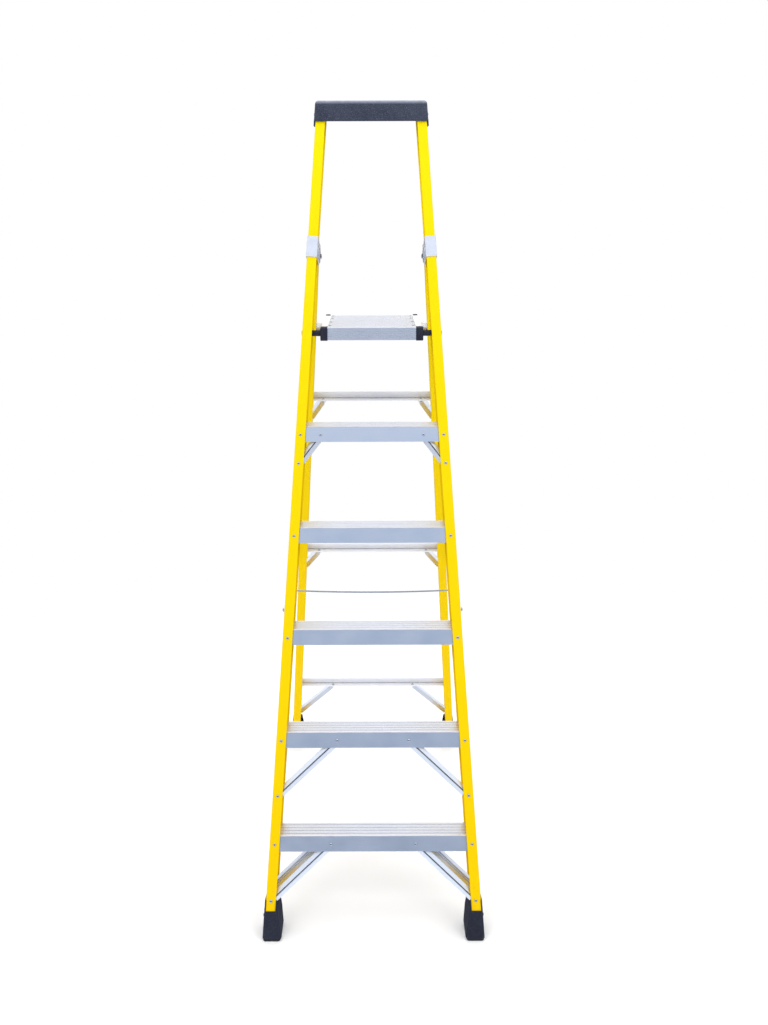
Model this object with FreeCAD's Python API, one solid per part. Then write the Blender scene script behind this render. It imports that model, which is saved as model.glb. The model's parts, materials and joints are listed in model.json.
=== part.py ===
import FreeCAD, Part
import math
import os
from FreeCAD import Matrix, Placement, Rotation, Vector

# Platform step ladder, open, +Z up, front towards -Y, origin on the floor in the middle of the
# four feet.  All sizes in millimetres, angles in degrees.

# ---------------------------------------------------------------- driving dimensions
STEP_RISE = 304.8            # height from one tread to the next
STEP_COUNT = 5
FRONT_LEAN = 17.96           # front frame, from the vertical
REAR_LEAN = 15.85            # rear frame, from the vertical
FRONT_HALF_WIDTH = 341.6     # outer faces of the front rails at the floor, from the middle
REAR_HALF_WIDTH = 341.0      # the same for the rear rails
RAIL_TAPER = 0.0661          # half width lost per millimetre of height

FRONT_RAIL_DEPTH = 84.0
FRONT_RAIL_FLANGE = 31.0
REAR_RAIL_DEPTH = 60.0
REAR_RAIL_FLANGE = 30.0
RAIL_WALL = 4.0
RAIL_BOTTOM_Z = 12.0
FRONT_RAIL_TOP_Z = 2508.0

SADDLE_Z = 2075.0            # middle of the hinge saddle on the front flange
SADDLE_HEIGHT = 66.0
HINGE_GAP = 4.0              # between the folded rear rail and the front rail
HINGE_SIDE_PLAY = 1.5
HINGE_BOLT_RADIUS = 4.75

PLATFORM_TOP_Z = 1826.0
PLATFORM_DEPTH = 400.0
PLATFORM_DECK_HALF = 141.5
PLATFORM_HALF = 161.5
PLATFORM_PIVOT_Z = 1806.0
PLATFORM_PIVOT_BEHIND = 25.0  # horizontally behind the front plane
PLATFORM_AXLE_RADIUS = 5.0

STEP_APRON = 46.5
SHEET = 2.5                  # step apron thickness
TREAD_PLATE = 3.2
RIB_DEPTH = 0.9
RIB_PITCH = 5.4
BROAD_GROOVE_EVERY = 3       # every third groove is broader and deeper
BROAD_GROOVE_EXTRA = 0.7     # further out on each side
BROAD_GROOVE_DEPTH = 1.7

RIVET_RADIUS = 3.0
RIVET_HEAD_RADIUS = 4.8
RIVET_HEAD_HEIGHT = 2.2
RIVET_RIM = 0.8                # height of the head's straight rim
RIVET_RECESS_RADIUS = 1.9
RIVET_RECESS_DEPTH = 1.3
RIVET_BELOW_TREAD = 24.0
RIVET_SEAT = 0.45            # a level rivet's head stands this far off a leaning wall
CLEAR = 0.1                  # gap between riveted faces
HOLE_PLAY = 0.05             # radial play in a drilled hole

SPREADER_FRONT_Z = 958.0     # front pivot bolt
SPREADER_FRONT_BEHIND = 50.0  # behind the front plane, along the rail depth
SPREADER_WIDTH = 16.0
SPREADER_THICK = 3.0
SPREADER_BOLT_RADIUS = 4.0
SPREADER_RISE = 3.0          # the pair is this many degrees short of straight
SPREADER_FRONT_SHARE = 0.507  # share of the span taken by the front links
CROSS_ROD_RADIUS = 2.75
CROSS_ROD_END_RADIUS = 2.95  # the straight ends, in the links
CROSS_ROD_FROM_PIVOT = 180.0
CROSS_ROD_SAG = 7.0

BRACE_WIDTH = 28.0
BRACE_SHEET = 2.0
BRACE_RIDGE = 7.0
BRACE_GROOVE = 4.0           # depth of the narrow groove along the ridge of a tread's brace
TAB_OVERLAP = 14.0           # the folded part reaches this far over each end tab
TAB_END = 12.0               # from a rivet to the end of its tab
SEAT_REACH = 45.0            # a strap runs this far over the apron it is riveted to
WEB_GAP = 2.6                # between a tread, bar or strap and the rail's web

# ---------------------------------------------------------------- frames
SIN_F = math.sin(math.radians(FRONT_LEAN))
COS_F = math.cos(math.radians(FRONT_LEAN))
SIN_R = math.sin(math.radians(REAR_LEAN))
COS_R = math.cos(math.radians(REAR_LEAN))
X_AXIS = Vector(1, 0, 0)
Y_AXIS = Vector(0, 1, 0)

# In each frame's own coordinates x is across, y is the rail depth and z runs up the slope.
FRONT_TAPER = RAIL_TAPER * COS_F
FRONT_TILT = math.degrees(math.atan(FRONT_TAPER))
HINGE_DEPTH = FRONT_RAIL_DEPTH + HINGE_GAP + REAR_RAIL_DEPTH / 2
HINGE_UP_FRONT = SADDLE_Z / COS_F
HINGE_Z = HINGE_UP_FRONT * COS_F - HINGE_DEPTH * SIN_F
HINGE_Y_REL = HINGE_UP_FRONT * SIN_F + HINGE_DEPTH * COS_F
HINGE_UP_REAR = (HINGE_Z - REAR_RAIL_DEPTH / 2 * SIN_R) / COS_R
REAR_Y_REL = HINGE_Y_REL - REAR_RAIL_DEPTH / 2 * COS_R + HINGE_UP_REAR * SIN_R
FRONT_Y = -(REAR_Y_REL + REAR_RAIL_DEPTH / COS_R) / 2
REAR_Y = FRONT_Y + REAR_Y_REL
HINGE = Vector(0, FRONT_Y + HINGE_Y_REL, HINGE_Z)
HINGE_OUTER_X = FRONT_HALF_WIDTH - HINGE_UP_FRONT * FRONT_TAPER
REAR_TAPER = (REAR_HALF_WIDTH - HINGE_OUTER_X + HINGE_SIDE_PLAY) / HINGE_UP_REAR
REAR_TILT = math.degrees(math.atan(REAR_TAPER))

FRONT_FRAME = Placement(Vector(0, FRONT_Y, 0), Rotation(X_AXIS, -FRONT_LEAN))
REAR_FRAME = Placement(Vector(0, REAR_Y, 0), Rotation(X_AXIS, REAR_LEAN))


def front_up(z, depth=0.0):
    """Slope coordinate in the front frame of a point at height z and the given depth."""
    return (z + depth * SIN_F) / COS_F


def rear_up(z, depth=0.0):
    """Slope coordinate in the rear frame of a point at height z and the given depth."""
    return (z - depth * SIN_R) / COS_R


def front_x(up, inward=0.0):
    """Left rail: x of a point that far inward of its outer face, in the front frame."""
    return -(FRONT_HALF_WIDTH - up * FRONT_TAPER - inward)


def rear_x(up, inward=0.0):
    """Left rear rail: x of a point that far inward of its outer face, in the rear frame."""
    return -(REAR_HALF_WIDTH - up * REAR_TAPER - inward)


def front_plane_y(z):
    return FRONT_Y + z * SIN_F / COS_F


# ---------------------------------------------------------------- shape helpers
def box(x0, x1, y0, y1, z0, z1):
    return Part.makeBox(x1 - x0, y1 - y0, z1 - z0, Vector(x0, y0, z0))


def prism_x(points, x0, x1):
    """Outline of (y, z) points, swept along X."""
    outline = [Vector(x0, y, z) for y, z in points]
    return Part.Face(Part.makePolygon(outline + outline[:1])).extrude(Vector(x1 - x0, 0, 0))


def prism_y(points, y0, y1):
    """Outline of (x, z) points, swept along Y."""
    outline = [Vector(x, y0, z) for x, z in points]
    return Part.Face(Part.makePolygon(outline + outline[:1])).extrude(Vector(0, y1 - y0, 0))


def rod(start, end, radius):
    along = end - start
    return Part.makeCylinder(radius, along.Length, start, along)


def tube(start, end, radius, bore):
    return rod(start, end, radius).cut(rod(start, end, bore))


def edges_along(shape, axis, near=None, reach=1.0):
    """Straight edges of the shape that run along the axis, near the given points if any."""
    found = []
    for edge in shape.Edges:
        ends = edge.Vertexes
        if len(ends) != 2:
            continue
        along = ends[1].Point - ends[0].Point
        if along.Length < 0.5 or along.cross(axis).Length > 0.02 * along.Length:
            continue
        middle = (ends[0].Point + ends[1].Point) * 0.5
        flat = middle - axis * middle.dot(axis)
        if near is None or any((flat - point).Length < reach for point in near):
            found.append(edge)
    return found


def rounded(shape, radius, axis, near=None, reach=1.0):
    return shape.makeFillet(radius, edges_along(shape, axis, near, reach))


def join(shapes):
    result = shapes[0]
    for shape in shapes[1:]:
        result = result.fuse(shape)
    return result.removeSplitter()


def placed(shape, placement):
    moved = shape.copy()
    moved.Placement = placement.multiply(moved.Placement)
    return moved


def mirrored(shape):
    return shape.mirror(Vector(0, 0, 0), X_AXIS)


def both_sides(shapes):
    return shapes + [mirrored(shape) for shape in shapes]


def drilled(shape, drills):
    return shape.cut(Part.makeCompound(drills)) if drills else shape


def save(name, shapes):
    """One STEP file for a node; a list is a group of separate solids."""
    if isinstance(shapes, list):
        shapes = Part.makeCompound([solid for shape in shapes for solid in shape.Solids])
    elif len(shapes.Solids) == 1:
        shapes = shapes.Solids[0]
    os.makedirs("parts", exist_ok=True)
    shapes.exportStep("parts/" + name + ".step")


def save_pair(name, left):
    """Two nodes, one for each side."""
    save(name + "_left", left)
    save(name + "_right", mirrored(left))


def save_both(name, left):
    """One node that holds the left piece and its mirror image as separate solids."""
    save(name, [left, mirrored(left)])


# ---------------------------------------------------------------- fasteners
def rivet(head_at, tail_at):
    """Solid rivet: domed head with a recess outside head_at, upset tail outside tail_at."""
    along = (tail_at - head_at).normalize()
    shank = rod(head_at, tail_at, RIVET_RADIUS)
    rim = rod(head_at - along * RIVET_RIM, head_at, RIVET_HEAD_RADIUS)
    crown = (RIVET_HEAD_HEIGHT - RIVET_RIM) / 2
    dome = [Part.makeCone(RIVET_HEAD_RADIUS, RIVET_HEAD_RADIUS * 0.86, crown,
                          head_at - along * RIVET_RIM, along * -1),
            Part.makeCone(RIVET_HEAD_RADIUS * 0.86, RIVET_HEAD_RADIUS * 0.56, crown,
                          head_at - along * (RIVET_RIM + crown), along * -1)]
    tail = Part.makeCone(RIVET_HEAD_RADIUS * 0.85, RIVET_HEAD_RADIUS * 0.7, 1.6, tail_at, along)
    crest = head_at - along * RIVET_HEAD_HEIGHT
    recess = rod(crest - along, crest + along * RIVET_RECESS_DEPTH, RIVET_RECESS_RADIUS)
    return join([shank, rim, tail] + dome).cut(recess)


def drill(head_at, tail_at, radius=RIVET_RADIUS + HOLE_PLAY):
    along = (tail_at - head_at).normalize()
    return rod(head_at - along * 2, tail_at + along * 2, radius)


def hex_prism(start, along, across, height):
    """Hexagon head or nut, standing on start."""
    corners = [Vector(across / math.sqrt(3) * math.cos(math.radians(60 * i)),
                      across / math.sqrt(3) * math.sin(math.radians(60 * i)), 0)
               for i in range(7)]
    block = Part.Face(Part.makePolygon(corners)).extrude(Vector(0, 0, height))
    return placed(block, Placement(start, Rotation(Vector(0, 0, 1), along)))


# ---------------------------------------------------------------- rails
def channel(depth, flange, length):
    """Rail section with its web at x = 0 and its flanges pointing to +x, run up z."""
    wall = RAIL_WALL
    outline = [(0, 0), (flange, 0), (flange, wall), (wall, wall), (wall, depth - wall),
               (flange, depth - wall), (flange, depth), (0, depth)]
    corners = [Vector(x, y, 0) for x, y in outline]
    solid = Part.Face(Part.makePolygon(corners + corners[:1])).extrude(Vector(0, 0, length))
    up = Vector(0, 0, 1)
    solid = rounded(solid, 3.0, up, [Vector(0, 0, 0), Vector(0, depth, 0)])
    solid = rounded(solid, 2.0, up, [Vector(wall, wall, 0), Vector(wall, depth - wall, 0)])
    tips = [Vector(flange, y, 0) for y in (0, wall, depth - wall, depth)]
    return rounded(solid, 1.0, up, tips)


def between_heights(shape, z0, z1):
    return shape.common(box(-900, 900, -1500, 1500, z0, z1))


def front_rail():
    rail = channel(FRONT_RAIL_DEPTH, FRONT_RAIL_FLANGE, 2800)
    rail.translate(Vector(0, 0, -40))
    rail = placed(rail, Placement(Vector(-FRONT_HALF_WIDTH, 0, 0), Rotation(Y_AXIS, FRONT_TILT)))
    return between_heights(placed(rail, FRONT_FRAME), RAIL_BOTTOM_Z, FRONT_RAIL_TOP_Z)


def rear_rail():
    """The top end is a half round about the hinge bolt, so it clears the front rail."""
    rail = channel(REAR_RAIL_DEPTH, REAR_RAIL_FLANGE, 2300)
    rail.translate(Vector(0, 0, -40))
    rail = placed(rail, Placement(Vector(-REAR_HALF_WIDTH, 0, 0), Rotation(Y_AXIS, REAR_TILT)))
    above = box(-400, 0, -20, REAR_RAIL_DEPTH + 20, HINGE_UP_REAR, 2400)
    centre = Vector(-400, REAR_RAIL_DEPTH / 2, HINGE_UP_REAR)
    round_end = rod(centre, centre + X_AXIS * 400, REAR_RAIL_DEPTH / 2)
    rail = rail.cut(above.cut(round_end))
    return between_heights(placed(rail, REAR_FRAME), RAIL_BOTTOM_Z, 2400)


# ---------------------------------------------------------------- treads
def tread_z(number):
    return STEP_RISE * number


def ribbed_top(y0, y1, z):
    """Points along a ribbed upper face from y0 to y1: grooves of two sizes with flat lands."""
    count = int((y1 - y0 - 4) / RIB_PITCH)
    start = (y0 + y1 - count * RIB_PITCH) / 2
    points = [(y0, z)]
    for i in range(count):
        left = start + i * RIB_PITCH + RIB_PITCH * 0.3
        right = left + RIB_PITCH * 0.4
        floor = z - RIB_DEPTH
        if i % BROAD_GROOVE_EVERY == 1:
            left, right = left - BROAD_GROOVE_EXTRA, right + BROAD_GROOVE_EXTRA
            floor = z - BROAD_GROOVE_DEPTH
        points += [(left, z), (left + 0.5, floor), (right - 0.5, floor), (right, z)]
    return points + [(y1, z)]


def in_front_frame(points):
    """(depth, height) points to (depth, slope) points of the front frame."""
    return [(depth, front_up(z, depth)) for depth, z in points]


def front_gap(inward, z0, z1):
    """Solid between the two front rails, that far inward of their outer faces."""
    low, high = front_up(z0) - 60, front_up(z1) + 60
    corners = [(front_x(low, inward), low), (-front_x(low, inward), low),
               (-front_x(high, inward), high), (front_x(high, inward), high)]
    return prism_y(corners, -20, FRONT_RAIL_DEPTH + 20)


def rear_gap(inward, z0, z1):
    low, high = rear_up(z0) - 60, rear_up(z1) + 60
    corners = [(rear_x(low, inward), low), (-rear_x(low, inward), low),
               (-rear_x(high, inward), high), (rear_x(high, inward), high)]
    return prism_y(corners, -20, REAR_RAIL_DEPTH + 20)


STEP_FRONT = RAIL_WALL + CLEAR
STEP_BACK = FRONT_RAIL_DEPTH - RAIL_WALL - CLEAR
APRON_INNER = STEP_FRONT + SHEET
APRON_BACK_INNER = STEP_BACK - SHEET


def step(number):
    """Tread with a ribbed top, two aprons along the rail flanges and two ribs below."""
    z = tread_z(number)
    under = z - TREAD_PLATE
    foot = z - STEP_APRON
    outline = [(STEP_FRONT, foot), (STEP_FRONT, z - 2), (STEP_FRONT + 2, z)]
    outline += ribbed_top(STEP_FRONT + 2, STEP_BACK - 2, z)[1:-1]
    outline += [(STEP_BACK - 2, z), (STEP_BACK, z - 2), (STEP_BACK, foot),
                (APRON_BACK_INNER, foot), (APRON_BACK_INNER, under)]
    for rib in (0.62, 0.38):
        middle = STEP_FRONT + (STEP_BACK - STEP_FRONT) * rib
        outline += [(middle + 1, under), (middle + 1, under - 9),
                    (middle - 1, under - 9), (middle - 1, under)]
    outline += [(APRON_INNER, under), (APRON_INNER, foot)]
    reach = FRONT_HALF_WIDTH
    solid = prism_x(in_front_frame(outline), -reach, reach)
    return solid.common(front_gap(RAIL_WALL + WEB_GAP, foot, z))


def flange_middle_x(up):
    return front_x(up, FRONT_RAIL_FLANGE / 2)


def front_step_rivets():
    """Left side: one rivet through each flange into each apron."""
    pairs = []
    for number in range(1, STEP_COUNT + 1):
        z = tread_z(number) - RIVET_BELOW_TREAD
        up = front_up(z)
        x = flange_middle_x(up)
        pairs.append((Vector(x, 0, up), Vector(x, APRON_INNER, up)))
        up = front_up(z, FRONT_RAIL_DEPTH)
        x = flange_middle_x(up)
        pairs.append((Vector(x, FRONT_RAIL_DEPTH, up), Vector(x, APRON_BACK_INNER, up)))
    return pairs


# ---------------------------------------------------------------- braces
def seat_gap(upper, lower, drop):
    """Gap under a strap's tabs: its seats differ by drop in depth, so it lies at a slant."""
    return CLEAR + SEAT_REACH * abs(drop) / (upper - lower).Length


def vee_section(half):
    """Corners of a V-section sheet with its ridge at zero."""
    crest = BRACE_RIDGE + BRACE_SHEET
    return [(-half, BRACE_RIDGE), (0, 0), (half, BRACE_RIDGE), (half, crest),
            (0, BRACE_SHEET * 1.15), (-half, crest)]


def grooved_section(half):
    """The same sheet with a narrow groove pressed along its ridge."""
    crest = BRACE_RIDGE + BRACE_SHEET
    shoulder, edge = 2.6, 0.6
    return [(-half, BRACE_RIDGE), (-shoulder, edge), (0, edge + BRACE_GROOVE), (shoulder, edge),
            (half, BRACE_RIDGE), (half, crest), (shoulder + 0.4, edge + 2.3),
            (0, edge + BRACE_GROOVE + 2.2), (-shoulder - 0.4, edge + 2.3), (-half, crest)]


def brace(upper, lower, section, ridge_back=False, width=BRACE_WIDTH):
    """Folded strap between two rivet seats, with a flat tab at each end.

    The ridge looks to the front, or to the back when ridge_back is set.
    """
    along = (upper - lower).normalize()
    depth = (Y_AXIS - along * along.dot(Y_AXIS)).normalize()
    if ridge_back:
        depth = depth * -1
    side = depth.cross(along)
    frame = Matrix(along.x, side.x, depth.x, lower.x,
                   along.y, side.y, depth.y, lower.y,
                   along.z, side.z, depth.z, lower.z,
                   0, 0, 0, 1)
    length = (upper - lower).Length
    half = width / 2
    flat = min(26.0, length * 0.3)
    corners = [Vector(flat - TAB_OVERLAP, y, z) for y, z in section(half)]
    vee = Part.Face(Part.makePolygon(corners + corners[:1]))
    vee = vee.extrude(Vector(length - 2 * (flat - TAB_OVERLAP), 0, 0))
    strap = [vee]
    for start in (-TAB_END, length + TAB_END - flat):
        tab = box(start, start + flat, -half, half, 0, BRACE_SHEET)
        strap.append(rounded(tab, 5.0, Vector(0, 0, 1)))
    return placed(join(strap), Placement(frame))


def front_brace(number, reach, lower_z, back=False):
    """Brace from a tread's apron to a rail flange, and its two rivets as (head, tail) pairs."""
    face, shell, apron, flange = 0.0, STEP_FRONT, APRON_INNER, RAIL_WALL
    inward = 1
    if back:
        face, shell, apron = FRONT_RAIL_DEPTH, STEP_BACK, APRON_BACK_INNER
        flange = FRONT_RAIL_DEPTH - RAIL_WALL
        inward = -1
    up_high = front_up(tread_z(number) - RIVET_BELOW_TREAD, face)
    up_low = front_up(lower_z, face)
    low_x = flange_middle_x(up_low)
    high, low = Vector(-reach, apron, up_high), Vector(low_x, flange, up_low)
    lift = Y_AXIS * (inward * seat_gap(high, low, apron - flange))
    strap = brace(high + lift, low + lift, grooved_section, back)
    strap = strap.common(front_gap(RAIL_WALL + WEB_GAP, lower_z - 60, tread_z(number)))
    stack = inward * (lift.Length + BRACE_SHEET + 2 * CLEAR)
    pairs = [(Vector(-reach, shell, up_high), Vector(-reach, apron + stack, up_high)),
             (Vector(low_x, face, up_low), Vector(low_x, flange + stack, up_low))]
    return strap, pairs


# ---------------------------------------------------------------- rear frame pieces
LEG_BACK = REAR_RAIL_DEPTH - RAIL_WALL - CLEAR
LEG_FRONT = LEG_BACK - SHEET
ANGLE_HEIGHT = 26.0
ANGLE_SHELF = 22.0
ANGLE_LIP = 2.0
GUSSET_RIVET_DEPTH = LEG_BACK - ANGLE_SHELF + 8.6
GUSSET_TAB = 13.0             # half width of the tab that lies under the shelf


def rear_angle(top_z):
    """Angle bar across the rear frame: an upright leg at the back and a lipped shelf in front."""
    top = rear_up(top_z, LEG_FRONT)
    bottom = top - ANGLE_HEIGHT
    lip = LEG_BACK - ANGLE_SHELF
    outline = [(lip, bottom), (LEG_BACK, bottom), (LEG_BACK, top), (LEG_FRONT, top),
               (LEG_FRONT, bottom + SHEET), (lip + ANGLE_LIP, bottom + SHEET),
               (lip + ANGLE_LIP, bottom + SHEET + 2), (lip, bottom + SHEET + 2)]
    bar = prism_x(outline, -REAR_HALF_WIDTH, REAR_HALF_WIDTH)
    return bar.common(rear_gap(RAIL_WALL + WEB_GAP, top_z - 40, top_z))


def rear_angle_parts(top_z, gusset_x, gusset_low_z):
    """The bar, its left gusset and the left rivets as (head, tail) pairs."""
    shelf = rear_up(top_z, LEG_FRONT) - ANGLE_HEIGHT
    up = shelf + ANGLE_HEIGHT / 2
    rail_x = rear_x(up, REAR_RAIL_FLANGE / 2)
    back = REAR_RAIL_DEPTH
    low_up = rear_up(gusset_low_z, back)
    low_x = rear_x(low_up, REAR_RAIL_FLANGE / 2)
    seat = back - RAIL_WALL - CLEAR
    under, foot = shelf - CLEAR, shelf - CLEAR - BRACE_SHEET
    strap = brace(Vector(-gusset_x, seat, shelf), Vector(low_x, seat, low_up), vee_section, True)
    room = box(-REAR_HALF_WIDTH, 0, 0, back, low_up - 60, under)
    tab = box(-gusset_x - GUSSET_TAB, -gusset_x + GUSSET_TAB, GUSSET_RIVET_DEPTH - 7, seat, foot, under)
    gusset = join([strap.common(room), rounded(tab, 4.0, Vector(0, 0, 1), [
        Vector(x, GUSSET_RIVET_DEPTH - 7, 0) for x in (-gusset_x - GUSSET_TAB, -gusset_x + GUSSET_TAB)])])
    gusset = gusset.common(rear_gap(RAIL_WALL + WEB_GAP, gusset_low_z - 60, top_z))
    pairs = [(Vector(rail_x, back, up), Vector(rail_x, LEG_FRONT, up)),
             (Vector(-gusset_x, GUSSET_RIVET_DEPTH, shelf + SHEET),
              Vector(-gusset_x, GUSSET_RIVET_DEPTH, foot)),
             (Vector(low_x, back, low_up), Vector(low_x, seat - BRACE_SHEET - CLEAR, low_up))]
    return rear_angle(top_z), gusset, pairs


REST_BAR_TOP_Z = 1816.0
REST_BAR_HEIGHT = 33.0
REST_BAR_LIP = 14.0


def rest_bar():
    """Channel that carries the back of the platform: level top, open below."""
    front, back = RAIL_WALL + CLEAR, LEG_BACK
    top, under = REST_BAR_TOP_Z, REST_BAR_TOP_Z - SHEET
    low = REST_BAR_TOP_Z - REST_BAR_HEIGHT
    outline = [(front, top - REST_BAR_LIP), (front, top), (back, top), (back, low), (back - 14, low),
               (back - 14, low + SHEET), (back - SHEET, low + SHEET), (back - SHEET, under),
               (front + SHEET, under), (front + SHEET, top - REST_BAR_LIP)]
    points = [(depth, rear_up(z, depth)) for depth, z in outline]
    solid = prism_x(points, -REAR_HALF_WIDTH, REAR_HALF_WIDTH)
    return solid.common(rear_gap(RAIL_WALL + WEB_GAP, low, top))


def rest_bar_rivets():
    z = REST_BAR_TOP_Z - 9.3
    pairs = []
    for face, inner in ((0.0, RAIL_WALL + CLEAR + SHEET), (REAR_RAIL_DEPTH, LEG_FRONT)):
        up = rear_up(z, face)
        x = rear_x(up, REAR_RAIL_FLANGE / 2)
        pairs.append((Vector(x, face, up), Vector(x, inner, up)))
    return pairs


# ---------------------------------------------------------------- hinge saddle
FRONT_RAIL_FRAME = FRONT_FRAME.multiply(
    Placement(Vector(-FRONT_HALF_WIDTH, 0, 0), Rotation(Y_AXIS, FRONT_TILT)))
REAR_RAIL_FRAME = REAR_FRAME.multiply(
    Placement(Vector(-REAR_HALF_WIDTH, 0, 0), Rotation(Y_AXIS, REAR_TILT)))
SADDLE_UP = HINGE_UP_FRONT / math.cos(math.radians(FRONT_TILT))
SADDLE_SHEET = 2.5
SADDLE_EYE = 19.0             # radius of the plates round the hinge bolt
LIP_IN = FRONT_RAIL_FLANGE + CLEAR
LIP_OUT = LIP_IN + 2.0
PLATE_IN = LIP_OUT + CLEAR
PLATE_OUT = PLATE_IN + SADDLE_SHEET


def on_front_rail(shape):
    """From coordinates (inward, depth, up the rail from the hinge) to the ladder."""
    local = shape.copy()
    local.translate(Vector(0, 0, SADDLE_UP))
    return placed(local, FRONT_RAIL_FRAME)


def saddle_plate(x0, x1, outline):
    plate = prism_x(outline, x0, x1)
    eye = rod(Vector(x0, HINGE_DEPTH, 0), Vector(x1, HINGE_DEPTH, 0), SADDLE_EYE)
    return plate.fuse(eye)


SADDLE_RIVETS = [(Vector(-SADDLE_SHEET - CLEAR, 25, z), Vector(RAIL_WALL, 25, z)) for z in (-18, 18)]
PLATE_RIVETS = [(Vector(PLATE_OUT, 50, 9), Vector(LIP_IN, 50, 9)),
                (Vector(PLATE_OUT, 70, -20), Vector(LIP_IN, 70, -20))]


def saddle():
    """Sheet steel wrapped round the rail's outer side and front, with a return inside."""
    half = SADDLE_HEIGHT / 2
    gap, skin = -CLEAR, -CLEAR - SADDLE_SHEET
    outer = saddle_plate(skin, gap, [(skin, -half), (FRONT_RAIL_DEPTH, -half), (HINGE_DEPTH - 5, -18),
                                     (HINGE_DEPTH - 5, 18), (FRONT_RAIL_DEPTH, half), (skin, half)])
    front = box(skin, LIP_OUT, skin, gap, -half, half)
    lip = box(LIP_IN, LIP_OUT, skin, FRONT_RAIL_DEPTH, -half, half)
    wrap = join([outer, front, lip])
    wrap = rounded(wrap, 1.8, Vector(0, 0, 1), [Vector(skin, skin, 0), Vector(LIP_OUT, skin, 0)])
    return wrap.cut(Part.makeCompound([drill(a, b) for a, b in SADDLE_RIVETS + PLATE_RIVETS]))


def hinge_plate():
    """Inner plate of the hinge, with its pointed tail below."""
    half = SADDLE_HEIGHT / 2
    outline = [(38, -30), (34, -18), (33, -4), (36, 10), (46, 22), (FRONT_RAIL_DEPTH, 30),
               (HINGE_DEPTH - 5, 18), (HINGE_DEPTH - 5, -18), (FRONT_RAIL_DEPTH, -half),
               (66, -40), (58, -49), (48, -41)]
    plate = saddle_plate(PLATE_IN, PLATE_OUT, outline).removeSplitter()
    return plate.cut(Part.makeCompound([drill(a, b) for a, b in PLATE_RIVETS]))


def hinge_points():
    """Stations along the left hinge bolt, as x in the ladder, from outside to inside."""
    outer = -HINGE_OUTER_X
    seat = 0.6                # the plates lean a little on the bolt's square seats
    return {"head": outer - SADDLE_SHEET - CLEAR - seat,
            "spacer_out": outer + HINGE_SIDE_PLAY + RAIL_WALL + 1.3,
            "spacer_in": outer + LIP_OUT - seat,
            "nut": outer + PLATE_OUT + seat}


def along_hinge(x):
    return Vector(x, HINGE.y, HINGE.z)


def hinge_bolt():
    at = hinge_points()
    nut_end = at["nut"] + 4.2
    shank = rod(along_hinge(at["head"]), along_hinge(nut_end), HINGE_BOLT_RADIUS)
    washer = rod(along_hinge(at["head"] - 1.2), along_hinge(at["head"]), 9.0)
    head = hex_prism(along_hinge(at["head"] - 1.2), X_AXIS * -1, 14.0, 4.6)
    return join([shank, washer, head])


def hinge_nut():
    at = hinge_points()
    nut = hex_prism(along_hinge(at["nut"]), X_AXIS, 13.0, 4.0)
    return nut.cut(rod(along_hinge(at["nut"] - 1), along_hinge(at["nut"] + 9), HINGE_BOLT_RADIUS + 0.02))


def hinge_spacer():
    at = hinge_points()
    return tube(along_hinge(at["spacer_out"]), along_hinge(at["spacer_in"]), 8.0,
                HINGE_BOLT_RADIUS + HOLE_PLAY)


def hinge_drill(play=HOLE_PLAY):
    at = hinge_points()
    return rod(along_hinge(at["head"] - 10), along_hinge(at["nut"] + 10), HINGE_BOLT_RADIUS + play)


# ---------------------------------------------------------------- top cap
CAP_TOP_Z = 2525.0
CAP_FRONT_LOW_Z = 2460.0
CAP_BACK_LOW_Z = 2482.0
CAP_SIDE_LOW_Z = 2447.0
CAP_WALL = 4.0
CAP_SIDE_GAP = 1.2
CAP_ROUND = 11.0
CAP_FRONT_GAP = 2.0
CAP_RIVET_Z = 2484.0


def cap_block(grow, low_front, low_back, top):
    """Leaning block round both rail tops, that much bigger than the rails all round."""
    behind = FRONT_RAIL_DEPTH / COS_F
    side = [(front_plane_y(low_front) - grow, low_front), (front_plane_y(top) - grow, top),
            (front_plane_y(top) + behind + grow, top),
            (front_plane_y(low_back) + behind + grow, low_back)]
    block = prism_x(side, -FRONT_HALF_WIDTH, FRONT_HALF_WIDTH)
    low, high = low_front - 30, top + 10
    edge = FRONT_HALF_WIDTH + grow - CAP_FRONT_GAP + CAP_SIDE_GAP
    wedge = [(-edge + low * RAIL_TAPER, low), (edge - low * RAIL_TAPER, low),
             (edge - high * RAIL_TAPER, high), (-edge + high * RAIL_TAPER, high)]
    return block.common(prism_y(wedge, 0, 400))


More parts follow.
